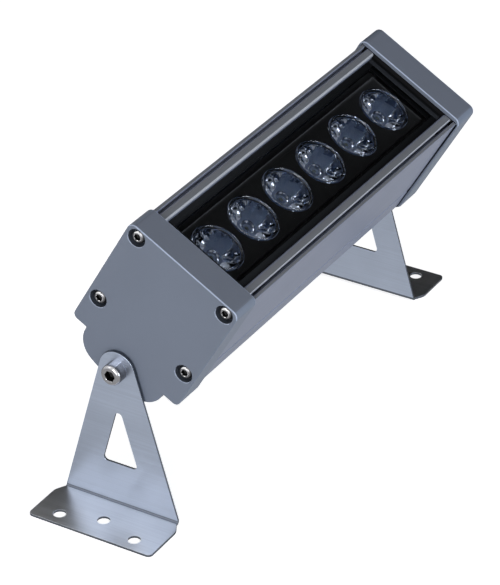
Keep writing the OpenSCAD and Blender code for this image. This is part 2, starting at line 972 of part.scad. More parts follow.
// Bracket for the right end, bent from one sheet
module bracket() {
    difference() {
        union() {
            along(plate_y, plate_face_y)
                difference() {
                    upright_outline();
                    cutout_outline();
                }
            translate([-foot_root_w / 2, bend_y, bend_outer_r])
                rotate([90, 0, 90])
                    linear_extrude(foot_root_w)
                        bend_outline();
            linear_extrude(sheet_t)
                foot_outline();
        }
        translate([0, plate_y - eps, pivot_h])
            outwards(RIGHT)
                cylinder(d = pivot_hole_d, h = sheet_t + 2 * eps);
        for (side = SIDES)
            translate([side * foot_hole_pitch / 2, foot_y - foot_hole_edge, -eps])
                cylinder(d = foot_hole_d, h = sheet_t + 2 * eps);
        translate([0, foot_y - foot_middle_edge, -eps])
            cylinder(d = foot_hole_d, h = sheet_t + 2 * eps);
    }
}

module left_bracket() {
    color("#9ba7ba")
        at_end(LEFT)
            bracket();
}

module right_bracket() {
    color("#9ba7ba")
        at_end(RIGHT)
            bracket();
}

// Places children on the pivot axis of the right end, rising outwards
module on_pivot(from_y) {
    in_lamp()
        outwards(RIGHT)
            translate([0, 0, from_y])
                children();
}

module pivot_bolt() {
    on_pivot(plate_face_y)
        cap_head_screw(pivot_bolt_d, pivot_bolt_l, pivot_head_d, pivot_head_h, pivot_socket_flats);
}

module left_pivot_bolt() {
    color("#c4c8cf")
        at_end(LEFT)
            pivot_bolt();
}

module right_pivot_bolt() {
    color("#c4c8cf")
        at_end(RIGHT)
            pivot_bolt();
}

module friction_washer() {
    on_pivot(cap_y)
        ring(friction_washer_d, pivot_bolt_d + screw_clear, pivot_gap);
}

module left_friction_washer() {
    color("#1c1d20")
        at_end(LEFT)
            friction_washer();
}

module right_friction_washer() {
    color("#1c1d20")
        at_end(RIGHT)
            friction_washer();
}

housing();
front_glass();
glass_seal();
lens_tray();
lens(1);  // lens_1
lens(2);  // lens_2
lens(3);  // lens_3
lens(4);  // lens_4
lens(5);  // lens_5
lens(6);  // lens_6
light_board();
thermal_pad();
light_board_screws();
led(1);  // led_1
led(2);  // led_2
led(3);  // led_3
led(4);  // led_4
led(5);  // led_5
led(6);  // led_6
driver_board();
transformer();
capacitors();
choke();
terminal_block();
driver_chips();
led_leads();
left_end_cap();
right_end_cap();
left_cap_gasket();
right_cap_gasket();
left_cap_screws();
right_cap_screws();
gland_body();
gland_nut();
gland_insert();
gland_ring();
left_bracket();
right_bracket();
left_pivot_bolt();
right_pivot_bolt();
left_friction_washer();
right_friction_washer();
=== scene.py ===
import math

import bmesh
import bpy
from bpy.props import FloatProperty, FloatVectorProperty, IntProperty, PointerProperty
from mathutils import Matrix, Vector


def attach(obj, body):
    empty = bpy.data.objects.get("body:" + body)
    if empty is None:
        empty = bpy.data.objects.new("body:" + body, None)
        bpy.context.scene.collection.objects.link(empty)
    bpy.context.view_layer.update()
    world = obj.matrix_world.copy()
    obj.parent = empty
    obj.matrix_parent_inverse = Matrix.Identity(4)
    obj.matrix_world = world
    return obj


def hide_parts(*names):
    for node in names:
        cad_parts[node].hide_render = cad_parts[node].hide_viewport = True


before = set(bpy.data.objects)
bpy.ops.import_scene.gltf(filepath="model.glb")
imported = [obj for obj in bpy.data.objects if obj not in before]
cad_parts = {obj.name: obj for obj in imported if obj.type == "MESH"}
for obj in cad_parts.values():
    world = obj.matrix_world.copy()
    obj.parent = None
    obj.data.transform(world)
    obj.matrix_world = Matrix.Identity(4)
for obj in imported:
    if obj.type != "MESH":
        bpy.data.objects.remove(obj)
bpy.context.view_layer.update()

bl_info = {
    "name": "Outdoor wall washer light",
    "version": (1, 0, 0),
    "blender": (4, 5, 0),
    "location": "3D View > Sidebar > Wall washer",
    "description": "Dresses the packed wall washer light: coated housing, lenses behind glass and brushed feet",
    "category": "Object",
}

# The lamp's own frame: (across, along, outwards) from the middle of the pivot axis
TILT = math.radians(30)
PIVOT_HEIGHT = 0.0616
LAMP = Matrix.Translation((0, 0, PIVOT_HEIGHT)) @ Matrix.Rotation(TILT, 4, "Y")
TO_LAMP = LAMP.inverted()
LEFT, RIGHT = -1, 1
SIDE_NAMES = {LEFT: "left", RIGHT: "right"}

# Places in the lamp's frame, in metres, as in the part's source
LENS_COUNT, LENS_PITCH, LENS_BASE = 6, 0.0255, 0.0403
LENS_PLACES = [(index - (LENS_COUNT - 1) / 2) * LENS_PITCH for index in range(LENS_COUNT)]
LENS_WELL = 0.0109  # the tray's walls within this radius are round a lens
BOARD_FACE, BOARD_SCREW_ACROSS = 0.0379, 0.0130
CHANNEL_ACROSS, FRONT_CHANNEL, REAR_CHANNEL = 0.0212, 0.0553, 0.0196
CHANNELS = [(side * CHANNEL_ACROSS, level) for side in SIDE_NAMES for level in (FRONT_CHANNEL, REAR_CHANNEL)]
CAP_FACE, COUNTERBORE_DEPTH, COUNTERBORE_RADIUS = 0.0929, 0.0036, 0.0037
FRONT, SLOT_EDGE = 0.0575, 0.0223  # the lips' faces and the inner edges of their slots
LIP_DEPTH = 0.0011  # the lips' coat reaches this far behind their faces
STRIP_EDGE, STRIP_END, STRIP_FACE = 0.0134, 0.0752, 0.0516  # the tray's raised strip
PRINT_ACROSS, PRINT_ALONG = 0.0158, 0.0752  # the glass is clear within these
PIVOT_SEAT = 0.0950  # along the lamp to the undersides of the pivot screws' heads

# Places on the brackets, in the scene's frame
BEND_TOP, BEND_EDGE = 0.0018, 0.0958  # a bend lies below the one and within the other
FADE_HEIGHT = 0.045  # an upright is painted darker below this, as painted shade

# How finishes are shared out over faces, by the parts of a face's normal
EDGE_LEAST, EDGE_MOST = 0.2, 0.97  # a rounded edge's faces lie between these, and flat faces beyond
CAP_EDGE_LEAST = 0.15  # the same on a cap's edges
EDGE_LIGHT = 0.1  # cap edges that face outwards more than this get a painted highlight
PAINTED_HIGHLIGHT_SIDE, PAINTED_HIGHLIGHT_SPREAD = 0.3, 0.34  # a screw head's painted highlight stripe: how far it faces up, and its half width
FLANK_SIDE = 0.3  # a screw head's flanks face along its axis less than this
CLOSE = 0.0002  # what lies nearer than this is taken to touch

# Socket head screws in metres: a head's edge is an arc, stretched to a low dome
CAP_SCREW = {"thread": 0.003, "length": 0.020, "head": 0.0061, "height": 0.003, "flats": 0.0025, "edge": 0.0016}
PIVOT_SCREW = {"thread": 0.005, "length": 0.014, "head": 0.0085, "height": 0.005, "flats": 0.004, "edge": 0.0011}
DOME_DROP = 1.5  # how much the dome is stretched
SOCKET_SIDES = 6
SOCKET_CORNER = 1.16  # a socket's mouth, in halves of its width across flats
SOCKET_MOUTH = 0.00015  # a socket's painted shade begins this far below the head's top


# Sizes and colours that a user may change


class WasherSizes(bpy.types.PropertyGroup):
    cap_round: FloatProperty(
        name="Cap edge", description="Radius of the end caps' outer edges", default=0.00036, unit="LENGTH"
    )
    rim_round: FloatProperty(
        name="Counterbore edge", description="Radius of the edges round the screws", default=0.0001, unit="LENGTH"
    )
    housing_round: FloatProperty(
        name="Housing edge", description="Radius of the extrusion's edges", default=0.0002, unit="LENGTH"
    )
    lip_round: FloatProperty(
        name="Lip edge", description="Radius of the lips' edges beside the slots", default=0.0006, unit="LENGTH"
    )
    sheet_round: FloatProperty(
        name="Sheet edge", description="Radius of the brackets' cut edges", default=0.00012, unit="LENGTH"
    )
    tray_round: FloatProperty(
        name="Tray edge", description="Radius of the lens tray's edges", default=0.0005, unit="LENGTH"
    )
    glass_round: FloatProperty(
        name="Glass edge", description="Width of the ground edge of the glass", default=0.0003, unit="LENGTH"
    )
    gland_round: FloatProperty(
        name="Gland edge", description="Radius of the edges of the gland's parts", default=0.0003, unit="LENGTH"
    )
    turned_steps: IntProperty(
        name="Turned steps", description="Faces round a large turned part", default=72, min=24, max=144
    )
    small_steps: IntProperty(
        name="Small turned steps", description="Faces round a small turned part", default=48, min=24, max=96
    )


class WasherColours(bpy.types.PropertyGroup):
    housing: FloatVectorProperty(
        name="Housing coat", description="Coat of the extrusion", default=(0.210, 0.231, 0.308), subtype="COLOR"
    )
    # A darker, greyer copy of the housing's coat for the lips' faces: painted shade
    lips: FloatVectorProperty(
        name="Lip coat", description="Coat on the lips' faces", default=(0.150, 0.155, 0.170), subtype="COLOR"
    )
    caps: FloatVectorProperty(
        name="Cap coat", description="Powder coat of the end caps", default=(0.172, 0.200, 0.260), subtype="COLOR"
    )
    # A darker copy of the caps' coat for their fronts: painted shade
    cap_front_shade: FloatVectorProperty(
        name="Cap front coat", description="Coat on the caps' fronts", default=(0.146, 0.162, 0.202), subtype="COLOR"
    )
    steel: FloatVectorProperty(
        name="Bracket steel", description="Brushed sheet", default=(0.592, 0.668, 0.820), subtype="COLOR"
    )
    # A lighter, greyer copy of the bracket steel for the feet: painted light
    foot_steel_painted_light: FloatVectorProperty(
        name="Foot steel", description="Brushed sheet of the feet", default=(0.745, 0.760, 0.790), subtype="COLOR"
    )
    cut_steel: FloatVectorProperty(
        name="Cut edge", description="Cut edges of the sheet", default=(0.12, 0.135, 0.165), subtype="COLOR"
    )
    screws: FloatVectorProperty(
        name="Screw steel", description="Bright stainless screws", default=(0.30, 0.30, 0.315), subtype="COLOR"
    )
    zinc: FloatVectorProperty(
        name="Board screws", description="Zinc on the board's screws", default=(0.6, 0.6, 0.6), subtype="COLOR"
    )
    tray: FloatVectorProperty(
        name="Tray black", description="Moulded lens tray", default=(0.0058, 0.0060, 0.0064), subtype="COLOR"
    )
    wells: FloatVectorProperty(
        name="Lens wells", description="Tray walls round the lenses", default=(0.20, 0.24, 0.31), subtype="COLOR"
    )
    border: FloatVectorProperty(
        name="Printed border", description="Black print on the glass", default=(0.018, 0.019, 0.0215), subtype="COLOR"
    )
    ground_glass: FloatVectorProperty(
        name="Ground edge", description="Ground edge of the glass", default=(0.045, 0.048, 0.053), subtype="COLOR"
    )
    rubber: FloatVectorProperty(
        name="Rubber black", description="Seals and gaskets", default=(0.006, 0.006, 0.007), subtype="COLOR"
    )
    gland: FloatVectorProperty(
        name="Gland black", description="Nylon of the cable gland", default=(0.012, 0.012, 0.013), subtype="COLOR"
    )
    lens: FloatVectorProperty(
        name="Lens tint", description="Clear acrylic", default=(0.46, 0.53, 0.67), subtype="COLOR"
    )


class WasherView(bpy.types.PropertyGroup):
    place: FloatVectorProperty(
        name="Camera place",
        description="Where the camera stands",
        default=(0.51233, -0.84542, 0.64238),
        unit="LENGTH",
    )
    turn: FloatVectorProperty(
        name="Camera turn",
        description="How the camera is turned",
        default=(1.02787, 0.00801, 0.53924),
        subtype="EULER",
    )
    lens: FloatProperty(
        name="Focal length", description="In millimetres on a 36 mm sensor", default=177.88, unit="CAMERA"
    )


def sizes():
    return bpy.context.scene.washer_sizes


def colours():
    return bpy.context.scene.washer_colours


# Shader building

WHITE = (1, 1, 1, 1)
MIX_FIRST, MIX_SECOND, MIX_RESULT = 6, 7, 2  # the Mix node's colour sockets


class Wire:
    """A socket's value, on which plain sums add their Math nodes."""

    def __init__(self, finish, socket):
        self.finish = finish
        self.socket = socket

    def sum_with(self, operation, *values):
        return self.finish.add("ShaderNodeMath", {"operation": operation}, dict(enumerate(values)))

    def __add__(self, other):
        return self.sum_with("ADD", self, other)

    __radd__ = __add__

    def __sub__(self, other):
        return self.sum_with("SUBTRACT", self, other)

    def __rsub__(self, other):
        return self.sum_with("SUBTRACT", other, self)

    def __mul__(self, other):
        return self.sum_with("MULTIPLY", self, other)

    __rmul__ = __mul__

    def __truediv__(self, other):
        return self.sum_with("DIVIDE", self, other)

    def __rtruediv__(self, other):
        return self.sum_with("DIVIDE", other, self)

    def __pow__(self, other):
        return self.sum_with("POWER", self, other)

    def __gt__(self, other):
        return self.sum_with("GREATER_THAN", self, other)

    def __lt__(self, other):
        return self.sum_with("LESS_THAN", self, other)


class Finish:
    """A material or world whose nodes are added one call at a time."""

    def __init__(self, owner):
        owner.use_nodes = True
        self.owner = owner
        self.tree = owner.node_tree
        self.tree.nodes.clear()

    def add(self, kind, settings=None, values=None, output=0):
        node = self.tree.nodes.new(kind)
        for name, setting in (settings or {}).items():
            setattr(node, name, setting)
        for key, value in (values or {}).items():
            socket = node.inputs[key]
            if isinstance(value, Wire):
                self.tree.links.new(value.socket, socket)
            else:
                socket.default_value = value
        return Wire(self, node.outputs[output]) if node.outputs else node

    def here(self, scale=None):
        """Place on the piece, which a scale packs closer in some directions."""
        place = self.add("ShaderNodeTexCoord", output="Object")
        if scale is None:
            return place
        return self.add("ShaderNodeVectorMath", {"operation": "MULTIPLY"}, {0: place, 1: scale})

    def lamp_place(self, axis):
        """Place across, along or outwards on the lamp, from the middle of its pivot axis."""
        level = self.add(
            "ShaderNodeVectorRotate",
            {"rotation_type": "Y_AXIS"},
            {"Vector": self.here(), "Center": (0, 0, PIVOT_HEIGHT), "Angle": -TILT},
        )
        return self.add("ShaderNodeSeparateXYZ", None, {"Vector": level}, output=axis)

    def size_of(self, value):
        return self.add("ShaderNodeMath", {"operation": "ABSOLUTE"}, {0: value})

    def larger(self, first, second):
        return self.add("ShaderNodeMath", {"operation": "MAXIMUM"}, {0: first, 1: second})

    def line(self, value, place, reach):
        """1 where a value is at a place, falling to 0 within its reach on both sides."""
        return self.larger(0.0, 1 - self.size_of(value - place) * (1 / reach))

    def noise(self, place, scale, detail=2.0, roughness=0.5):
        values = {"Vector": place, "Scale": scale, "Detail": detail, "Roughness": roughness}
        return self.add("ShaderNodeTexNoise", None, values)

    def blend(self, share, first, second):
        """Mixes two colours, each a wire or three numbers."""
        first, second = (part if isinstance(part, Wire) else (*part, 1) for part in (first, second))
        values = {"Factor": share, MIX_FIRST: first, MIX_SECOND: second}
        return self.add("ShaderNodeMix", {"data_type": "RGBA"}, values, output=MIX_RESULT)

    def uneven(self, share, colour, spread):
        """Colour that wanders to both sides of its own lightness."""
        return self.blend(share, toned(colour, 1 - spread), toned(colour, 1 + spread))

    def bump(self, height, depth):
        return self.add("ShaderNodeBump", None, {"Height": height, "Distance": depth})

    def ray(self, kind):
        """1 for one kind of ray."""
        return self.add("ShaderNodeLightPath", output="Is %s Ray" % kind)

    def glow(self, strength):
        return self.add("ShaderNodeEmission", None, {"Color": WHITE, "Strength": strength})

    def principled(self, values):
        return self.end(self.add("ShaderNodeBsdfPrincipled", None, values))

    def end(self, surface):
        kind = "ShaderNodeOutputWorld" if isinstance(self.owner, bpy.types.World) else "ShaderNodeOutputMaterial"
        self.add(kind, None, {"Surface": surface})
        return self.owner


def new_finish(name):
    return Finish(bpy.data.materials.new(name))


def toned(colour, times):
    """A colour made lighter or darker."""
    return tuple(min(1.0, part * times) for part in colour)


def coat(name, colour, stretch=None, roughness=0.45, grain=0.00002, gloss=0.35):
    """Grey coat on metal: a little uneven in tone, with a fine grain that may be drawn out along the piece."""
    finish = new_finish(name)
    clouds = finish.noise(finish.here(), 35.0, 3.0)
    drawn = finish.noise(finish.here(stretch), 1400.0)
    return finish.principled(
        {
            "Base Color": finish.uneven(0.75 * clouds + 0.25 * drawn, colour, 0.08),
            "Roughness": roughness - 0.05 + 0.1 * drawn,
            "Specular IOR Level": gloss,
            "Normal": finish.bump(drawn, grain),
        }
    )


def brushed(name, colour, roughness=0.32, painted_shade=0.0):
    """Brushed stainless sheet with streaks that run across the lamp. It may be painted darker down towards its foot,
    as painted shade.
    """
    finish = new_finish(name)
    streaks = finish.noise(finish.here((18, 1500, 1500)), 1.0, 4.0, 0.65)
    clouds = finish.noise(finish.here(), 60.0, 3.0)
    sheet = finish.uneven(0.6 * streaks + 0.4 * clouds, colour, 0.22)
    if painted_shade:
        level = finish.add("ShaderNodeSeparateXYZ", None, {"Vector": finish.here()}, output="Z")
        shaded = finish.larger(0.0, 1 - level / FADE_HEIGHT) * painted_shade
        sheet = finish.blend(shaded, sheet, toned(colour, 0.35))
    return finish.principled(
        {
            "Base Color": sheet,
            "Metallic": 1.0,
            "Roughness": roughness - 0.08 + 0.16 * streaks,
            "Normal": finish.bump(streaks, 0.00005),
        }
    )


def bright_metal(name, colour, roughness):
    """Bright metal with the faint marks of turning."""
    finish = new_finish(name)
    marks = finish.noise(finish.here((400, 3000, 400)), 1.0, 3.0)
    return finish.principled(
        {
            "Base Color": finish.uneven(marks, colour, 0.1),
            "Metallic": 1.0,
            "Roughness": roughness - 0.04 + 0.08 * marks,
            "Normal": finish.bump(marks, 0.000004),
        }
    )


def moulded(name, colour, roughness, gloss=0.1, grain=0.00001):
    """Moulded plastic or rubber with a fine eroded skin."""
    finish = new_finish(name)
    skin = finish.noise(finish.here(), 2500.0, 3.0)
    clouds = finish.noise(finish.here(), 80.0)
    return finish.principled(
        {
            "Base Color": finish.uneven(clouds, colour, 0.25),
            "Roughness": roughness - 0.06 + 0.12 * skin,
            "Specular IOR Level": gloss,
            "Normal": finish.bump(skin, grain),
        }
    )


def tray_plastic(name, colour):
    """Black moulding, painted lighter towards its far end, with a painted highlight along its raised strip's left
    edge and at its far end.
    """
    finish = new_finish(name)
    skin = finish.noise(finish.here(), 2500.0, 3.0)
    across, along = finish.lamp_place("X"), finish.lamp_place("Y")
    # Painted light: the black grows lighter towards the far end, and a painted highlight runs along the strip's left
    # edge and its far end
    far = finish.larger(0.0, along / STRIP_END) ** 4.0
    side = finish.line(across, -STRIP_EDGE + 0.0003, 0.00111)
    end = finish.line(along, STRIP_END - 0.0006, 0.001) * (finish.size_of(across) < STRIP_EDGE - 0.0005)
    painted_highlight = finish.larger(side * (0.2 + 0.5 * far), end * 0.6) * (0.8 + 0.2 * skin)
    return finish.principled(
        {
            "Base Color": finish.blend(painted_highlight, finish.blend(far, colour, toned(colour, 2.4)), toned(colour, 16)),
            "Roughness": 0.39 + 0.12 * skin,
            "Specular IOR Level": 0.06,
            "Normal": finish.bump(skin, 0.00002),
        }
    )


def clear_glass(name, border):
    """Front glass: clear in the middle with a black border printed on it, painted darker towards the far end as
    painted shade, and reflections that grow at a slant.
    """
    finish = new_finish(name)
    smears = finish.noise(finish.here(), 45.0, 4.0)
    slant = finish.add("ShaderNodeLayerWeight", None, {"Blend": 0.5}, output="Facing")
    across, along = finish.lamp_place("X"), finish.lamp_place("Y")
    # Painted shade: the printed border grows darker towards the far end
    far = finish.larger(0.0, 0.4 + 6.0 * along + 0.2 * smears)
    printed = finish.larger(finish.size_of(across) > PRINT_ACROSS, finish.size_of(along) > PRINT_ALONG)
    return finish.principled(
        {
            "Base Color": finish.blend(far, border, toned(border, 0.28)),
            "Roughness": 0.03 + 0.04 * smears,
            "Specular IOR Level": 0.5,
            "Alpha": finish.larger(printed, 0.01 + 0.85 * slant**5.0),
        }
    )


def clear_acrylic(name, colour):
    """Polished acrylic of the collimator lenses, with faint flow marks."""
    finish = new_finish(name)
    flow = finish.noise(finish.here(), 220.0)
    return finish.principled(
        {
            "Base Color": finish.blend(flow, toned(colour, 0.94), colour),
            "Roughness": 0.01 + 0.03 * flow,
            "IOR": 1.49,
            "Transmission Weight": 1.0,
            "Normal": finish.bump(flow, 0.00001),
        }
    )


def phosphor(name):
    """Emitter: finely grained pale yellow phosphor up to its smooth dome."""
    finish = new_finish(name)
    grain = finish.noise(finish.here(), 1800.0)
    return finish.principled(
        {
            "Base Color": finish.blend(grain, (0.30, 0.27, 0.14), (0.42, 0.38, 0.20)),
            "Roughness": 0.25 + 0.1 * grain,
        }
    )


def speckled(name, first, second, scale, roughness):
    """Plain finish for a piece inside the housing: two tones in a fine pattern."""
    finish = new_finish(name)
    pattern = finish.noise(finish.here(), scale, 3.0)
    return finish.principled(
        {
            "Base Color": finish.blend(pattern, first, second),
            "Roughness": roughness - 0.05 + 0.1 * pattern,
            "Normal": finish.bump(pattern, 0.00002),
        }
    )


# Mesh building

MERGE_GAP = 2e-6
FLAT_ANGLE, SHARP_ANGLE = math.radians(0.4), math.radians(32)

REPEAT_INPUTS = {
    "Shape": "NodeSocketGeometry",
    "Gap across": "NodeSocketFloat",
    "Gap along": "NodeSocketFloat",
    "Count across": "NodeSocketInt",
    "Count along": "NodeSocketInt",
    "Centre": "NodeSocketVector",
    "Plane turn": "NodeSocketVector",
    "Shape turn": "NodeSocketVector",
    "Lamp tilt": "NodeSocketVector",
    "Pivot": "NodeSocketVector",
    "Finish": "NodeSocketMaterial",
}


def new_piece(name, mesh):
    piece = bpy.data.objects.new(name, mesh)
    bpy.context.scene.collection.objects.link(piece)
    return piece


def made_plain(piece):
    """Turns what a piece's modifiers make into its own mesh."""
    graph = bpy.context.evaluated_depsgraph_get()
    result = piece.evaluated_get(graph)
    mesh = bpy.data.meshes.new_from_object(result, preserve_all_data_layers=True, depsgraph=graph)
    piece.modifiers.clear()
    piece.data = mesh
    mesh.name = piece.name
    return piece


def merged_copy(node, name):
    """Copy of a CAD node's mesh with its loose triangles joined and its flat faces made whole."""
    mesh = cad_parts[node].data.copy()
    mesh.materials.clear()
    if "custom_normal" in mesh.attributes:
        mesh.attributes.remove(mesh.attributes["custom_normal"])
    form = bmesh.new()
    form.from_mesh(mesh)
    bmesh.ops.remove_doubles(form, verts=form.verts, dist=MERGE_GAP)
    bmesh.ops.dissolve_limit(form, angle_limit=FLAT_ANGLE, verts=form.verts, edges=form.edges)
    form.to_mesh(mesh)
    form.free()
    return new_piece(name, mesh)


def rounded(piece, width, steps=2, weight_of=None):
    """Rounds a piece's sharp edges. Where weight_of is given, it says how much of the width an edge gets."""
    form = bmesh.new()
    form.from_mesh(piece.data)
    layers = form.edges.layers.float
    layer = layers.get("bevel_weight_edge") or layers.new("bevel_weight_edge")
    for edge in form.edges:
        sharp = len(edge.link_faces) == 2 and edge.calc_face_angle(0) > SHARP_ANGLE
        edge[layer] = (weight_of(edge) if weight_of else 1.0) if sharp else 0.0
    form.to_mesh(piece.data)
    form.free()
    piece.data.shade_smooth()
    bevel = piece.modifiers.new("Round", "BEVEL")
    bevel.width = width
    bevel.segments = steps
    bevel.limit_method = "WEIGHT"
    bevel.use_clamp_overlap = False
    bevel.miter_outer = "MITER_ARC"
    even = piece.modifiers.new("Even", "WEIGHTED_NORMAL")
    even.keep_sharp = True
    even.weight = 100
    return made_plain(piece)


def ring_points(form, radius, height, steps, flats=0):
    """One ring of a turned shape, round or with a number of flats."""
    points = []
    for step in range(steps):
        turn = 2 * math.pi * step / steps
        reach = radius
        if flats:
            sector = (turn + math.pi / flats) % (2 * math.pi / flats) - math.pi / flats
            reach = radius / math.cos(sector)
        points.append(form.verts.new((reach * math.cos(turn), reach * math.sin(turn), height)))
    return points


def turned(profile, steps, sharp=35):
    """Closed shape turned about Z. A profile point is (radius, height) or (half across flats, height, flats)."""
    form = bmesh.new()
    rings = []
    for radius, height, *flats in profile:
        if radius == 0:
            rings.append([form.verts.new((0, 0, height))])
        else:
            rings.append(ring_points(form, radius, height, steps, *flats))
    for lower, upper in zip(rings, rings[1:]):
        for step in range(steps):
            after = (step + 1) % steps
            corners = [lower[step % len(lower)], lower[after % len(lower)]]
            corners += [upper[after % len(upper)], upper[step % len(upper)]]
            form.faces.new(list(dict.fromkeys(corners)))
    bmesh.ops.recalc_face_normals(form, faces=form.faces)
    mesh = bpy.data.meshes.new("turned")
    form.to_mesh(mesh)
    form.free()
    mesh.shade_smooth()
    mesh.set_sharp_from_angle(angle=math.radians(sharp))
    return mesh


def arc(centre, radius, start, end, steps):
    """Points of an arc in a profile, between two angles in degrees."""
    angles = [math.radians(start + (end - start) * step / steps) for step in range(steps + 1)]
    return [(centre[0] + radius * math.cos(angle), centre[1] + radius * math.sin(angle)) for angle in angles]


def screw_profile(thread, length, head, height, flats, edge):
    """Socket head screw, its head's underside on Z = 0: thread, rounded head, and a socket with a coned floor."""
    tip, lead, broken_edge = thread * 0.42, thread * 0.1, 0.00005
    profile = [(0, -length), (tip, -length), (thread / 2, -length + lead), (thread / 2, 0)]
    profile += [(head / 2 - broken_edge, 0), (head / 2, broken_edge)]
    for across, level in arc((head / 2 - edge, height - edge), edge, 0, 90, 8):
        profile.append((across, height + (level - height) * DOME_DROP))
    half, mouth, floor = flats / 2, 0.0001, height * 0.45
    profile += [(min(half * SOCKET_CORNER, head / 2 - edge), height), (half * 1.02, height - mouth, SOCKET_SIDES)]
    profile += [(half, height - 2 * mouth, SOCKET_SIDES), (half, floor, SOCKET_SIDES), (0, floor - flats * 0.15)]
    return profile


def lens_profile():
    """Collimator lens on Z = 0: hollow over the emitter, cone with facets, flange, rounded rim and sunk face."""
    near, far = 8, 12  # facets round the cone
    profile = [(0, 0.0040), (0.0011, 0.0038), (0.0021, 0.0033), (0.0028, 0.0026), (0.0028, 0.0002), (0.0030, 0)]
    profile += [(0.0043, 0), (0.0045, 0.0003, near), (0.0057, 0.0020, near), (0.0068, 0.0043, near)]
    profile += [(0.0081, 0.0067, far), (0.0090, 0.0091, far), (0.0094, 0.0100), (0.0104, 0.0100)]
    profile += arc((0.0104, 0.0102), 0.0002, -90, 0, 3) + arc((0.0103, 0.0117), 0.0003, 0, 90, 4)
    profile += [(0.0100, 0.0120), (0.0099, 0.0119), (0.0097, 0.0115), (0.0094, 0.0114)]
    return profile + [(0.0045, 0.0113), (0, 0.0113)]


def emitter_profile():
    """Round seat with a smaller dome on it, on Z = 0."""
    half, height, dome = 0.00175, 0.0008, 0.0014
    profile = [(0, 0), (half, 0), (half, height * 0.9), (half * 0.96, height), (dome, height)]
    return profile + arc((0, height), dome, 0, 90, 8)[1:-1] + [(0, height + dome)]


def board_screw_profile():
    """Small pan head screw, its head's underside on Z = 0."""
    profile = [(0, -0.0054), (0.0013, -0.0054), (0.0015, -0.0052), (0.0015, 0), (0.0024, 0), (0.0025, 0.0002)]
    return profile + arc((0.0011, 0.0004), 0.0014, 0, 90, 5) + [(0, 0.0018)]


def repeat_tree(name):
    """Node tree that repeats the piece's own shape on a grid in the lamp's frame, then sets its finish."""
    tree = bpy.data.node_groups.new(name, "GeometryNodeTree")
    for label, kind in REPEAT_INPUTS.items():
        tree.interface.new_socket(label, in_out="INPUT", socket_type=kind)
    tree.interface.new_socket("Shapes", in_out="OUTPUT", socket_type="NodeSocketGeometry")
    given = tree.nodes.new("NodeGroupInput").outputs

    def add(kind, sources, operation=None):
        node = tree.nodes.new(kind)
        if operation:
            node.operation = operation
        for key, source in sources.items():
            tree.links.new(source, node.inputs[key])
        return node.outputs[0] if node.outputs else node

    def span(count, gap):
        """From the first of a row to its last."""
        whole = add("ShaderNodeMath", {0: given[count], 1: given[gap]}, "MULTIPLY")
        return add("ShaderNodeMath", {0: whole, 1: given[gap]}, "SUBTRACT")

    grid = {"Size X": span("Count across", "Gap across"), "Size Y": span("Count along", "Gap along")}
    grid |= {"Vertices X": given["Count across"], "Vertices Y": given["Count along"]}
    places = add("GeometryNodeMeshGrid", grid)
    laid = {"Geometry": places, "Translation": given["Centre"], "Rotation": given["Plane turn"]}
    points = add("GeometryNodeTransform", laid)
    each = {"Points": points, "Instance": given["Shape"], "Rotation": given["Shape turn"]}
    shapes = add("GeometryNodeInstanceOnPoints", each)
    tilt = {"Geometry": shapes, "Translation": given["Pivot"], "Rotation": given["Lamp tilt"]}
    real = add("GeometryNodeRealizeInstances", {0: add("GeometryNodeTransform", tilt)})
    done = add("GeometryNodeSetMaterial", {"Geometry": real, "Material": given["Finish"]})
    add("NodeGroupOutput", {0: done})
    return tree


def repeated(name, mesh, finish, **inputs):
    """Piece made of one shape repeated by geometry nodes. The inputs are the tree's, by their labels."""
    piece = new_piece(name, mesh)
    tree = repeat_tree(name + "_places")
    repeat = piece.modifiers.new("Repeat", "NODES")
    repeat.node_group = tree
    given = {"Count across": 1, "Lamp tilt": (0, TILT, 0), "Pivot": (0, 0, PIVOT_HEIGHT), "Finish": finish}
    given |= {label.replace("_", " ").capitalize(): value for label, value in inputs.items()}
    sockets = {item.name: item.identifier for item in tree.interface.items_tree if item.in_out == "INPUT"}
    for label, value in given.items():
        repeat[sockets[label]] = value
    return made_plain(piece)


# Finishing


def put_on(piece, finish, body, slot, *nodes):
    """Gives a piece its finish and body, and hides the CAD nodes that it stands for. The slot is not used."""
    if finish:
        piece.data.materials.clear()
        piece.data.materials.append(finish)
    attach(piece, body)
    if nodes:
        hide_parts(*nodes)
    return piece


def paint(node, finish):
    """Gives a CAD node that stays a better finish."""
    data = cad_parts[node].data
    if not data.materials:
        data.materials.append(finish)
    for index in range(len(data.materials)):
        data.materials[index] = finish


def share_out(piece, finishes, index_of, place=Matrix()):
    """Adds finishes to a piece's own, and gives each face the one that a rule names.

    The rule gets the face's middle and facing in the frame that place leads to.
    """
    turn = place.to_3x3()
    for finish in finishes:
        piece.data.materials.append(finish)
    for polygon in piece.data.polygons:
        polygon.material_index = index_of(place @ polygon.center, turn @ polygon.normal)


def on_edge(share, least=EDGE_LEAST):
    """Whether a part of a face's normal is that of a rounded edge's face."""
    return least < share < EDGE_MOST


def finish_heads(piece, screw, seat, places, painted_highlight, lean):
    """Gives screws sockets painted dark as painted shade, a bright stripe that leans to one side as a painted
    highlight, and flanks painted darker as painted shade.
    """
    axes = [LAMP @ Vector((across, 0, level)) for across, level in places]
    radius, depth = screw["flats"] / 2 * SOCKET_CORNER, seat + screw["height"] - SOCKET_MOUTH
    # Dark sockets and darker flanks are painted shade; the bright stripe on top is a painted highlight
    finishes = [
        bright_metal("%s_%s" % (piece.name, part), toned(colours().screws, times), roughness)
        for part, times, roughness in (("sockets", 0.12, 0.4), ("painted_highlight", painted_highlight, 0.2), ("flanks", 0.5, 0.3))
    ]

    def index_of(middle, facing):
        if abs(middle.y) < depth and min((middle - axis).xz.length for axis in axes) < radius:
            return 1
        if facing.z > PAINTED_HIGHLIGHT_SIDE and abs(facing.x - lean) < PAINTED_HIGHLIGHT_SPREAD:
            return 2
        return 3 if abs(facing.y) < FLANK_SIDE else 0

    share_out(piece, finishes, index_of)


# Pieces


